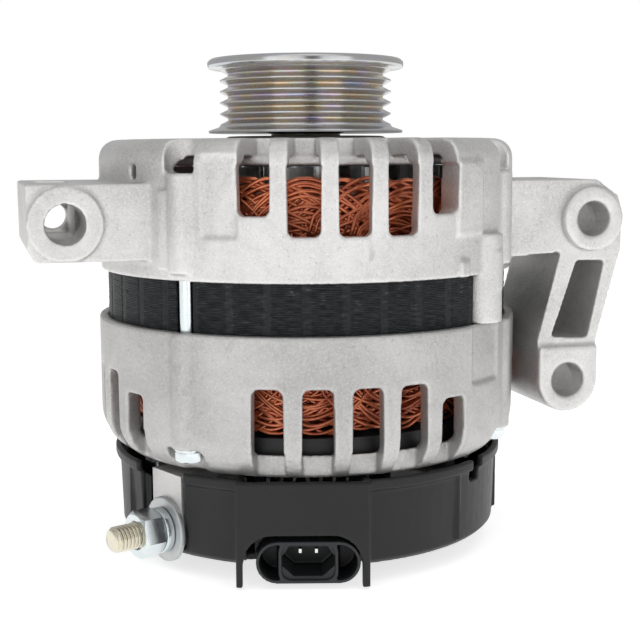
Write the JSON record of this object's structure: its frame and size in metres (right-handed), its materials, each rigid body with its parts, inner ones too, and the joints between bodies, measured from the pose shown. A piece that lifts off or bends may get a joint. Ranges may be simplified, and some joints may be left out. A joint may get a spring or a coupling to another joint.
{
  "type": "car alternator",
  "caption": "Belt-driven car alternator with a ribbed pulley, two cast vented frames, mounting ears, covered rectifier end, output stud and plug socket.",
  "frame": {"origin": "centre of the rear cover's raised foot, on the shaft axis", "axes": "+Z along the shaft towards the pulley, -Y towards the front of the mounting ears, +X towards the double bracket"},
  "size_m": [0.1895, 0.137, 0.1573],
  "materials": {
    "cast_aluminium": "as-cast, fine speckle",
    "lamination": "black varnished laminations",
    "copper": "enamelled copper wire",
    "insulation_paper": "matt",
    "zinc_steel": "bright zinc plate",
    "satin_zinc": "satin zinc plate",
    "yellow_zinc": "yellow zinc plate",
    "bearing_steel": "ground",
    "seal_rubber": "matt",
    "black_plastic": "satin moulded",
    "grey_plastic": "satin moulded",
    "brown_plastic": "satin moulded",
    "heatsink_aluminium": "die-cast",
    "diode_metal": "tinned copper",
    "tin": "tin plate",
    "carbon": "pressed graphite",
    "ground_steel": "ground",
    "pole_steel": "forged",
    "fan_steel": "galvanised",
    "pulley_zinc": "bright zinc plate with faint colour"
  },
  "bodies": {
    "root": {"drive_end_frame": "cast_aluminium", "slip_ring_end_frame": "cast_aluminium", "stator_core": "lamination", "stator_winding": "copper", "slot_liners": "insulation_paper", "stator_leads": "copper", "rear_baffle": "black_plastic", "through_bolts": "zinc_steel", "front_bearing_outer_race": "bearing_steel", "front_bearing_seals": "seal_rubber", "bearing_retainer": "zinc_steel", "retainer_screws": "zinc_steel", "rear_bearing_outer_race": "bearing_steel", "rear_bearing_seals": "seal_rubber", "rear_cover": "black_plastic", "cover_studs": "zinc_steel", "cover_nuts": "zinc_steel", "positive_heatsink": "heatsink_aluminium", "negative_heatsink": "heatsink_aluminium", "positive_diodes": "diode_metal", "negative_diodes": "diode_metal", "rectifier_terminal_frame": "grey_plastic", "rectifier_screws": "zinc_steel", "output_stud": "yellow_zinc", "output_nut": "zinc_steel", "output_spring_washer": "zinc_steel", "output_flat_washer": "satin_zinc", "regulator_housing": "grey_plastic", "plug_pins": "tin", "regulator_heatsink": "heatsink_aluminium", "regulator_screws": "zinc_steel", "brush_holder": "brown_plastic", "front_brush_spring": "zinc_steel", "rear_brush_spring": "zinc_steel"},
    "rotor": {"rotor_shaft": "ground_steel", "front_claw_pole": "pole_steel", "rear_claw_pole": "pole_steel", "field_bobbin": "insulation_paper", "field_coil": "copper", "front_fan": "fan_steel", "rear_fan": "fan_steel", "slip_ring_sleeve": "brown_plastic", "front_slip_ring": "copper", "rear_slip_ring": "copper", "shaft_spacer": "ground_steel", "pulley": "pulley_zinc", "pulley_nut": "zinc_steel", "front_bearing_inner_race": "bearing_steel", "rear_bearing_inner_race": "bearing_steel"},
    "front_ball_set": {"front_bearing_balls": "bearing_steel", "front_bearing_cage": "brown_plastic"},
    "rear_ball_set": {"rear_bearing_balls": "bearing_steel", "rear_bearing_cage": "brown_plastic"},
    "front_brush": {"front_brush": "carbon"},
    "rear_brush": {"rear_brush": "carbon"}
  },
  "joints": [
    {"name": "rotor_spin", "type": "hinge", "parent": "root", "child": "rotor", "pos_m": [0, 0, 0.083], "axis": [0, 0, 1], "continuous": true},
    {"name": "front_balls_orbit", "type": "hinge", "parent": "root", "child": "front_ball_set", "pos_m": [0, 0, 0.1235], "axis": [0, 0, 1], "continuous": true},
    {"name": "rear_balls_orbit", "type": "hinge", "parent": "root", "child": "rear_ball_set", "pos_m": [0, 0, 0.0445], "axis": [0, 0, 1], "continuous": true},
    {"name": "front_brush_slide", "type": "slide", "parent": "root", "child": "front_brush", "axis": [-0.2588, -0.9659, 0], "range_m": [0, 0.005], "stiffness_N_per_m": 300, "springref_m": -0.004, "deforming": ["front_brush_spring"]},
    {"name": "rear_brush_slide", "type": "slide", "parent": "root", "child": "rear_brush", "axis": [-0.2588, -0.9659, 0], "range_m": [0, 0.005], "stiffness_N_per_m": 300, "springref_m": -0.004, "deforming": ["rear_brush_spring"]}
  ],
  "couplings": [
    {"joint": "front_balls_orbit", "follows": "rotor_spin", "ratio": 0.3688},
    {"joint": "rear_balls_orbit", "follows": "rotor_spin", "ratio": 0.382}
  ]
}
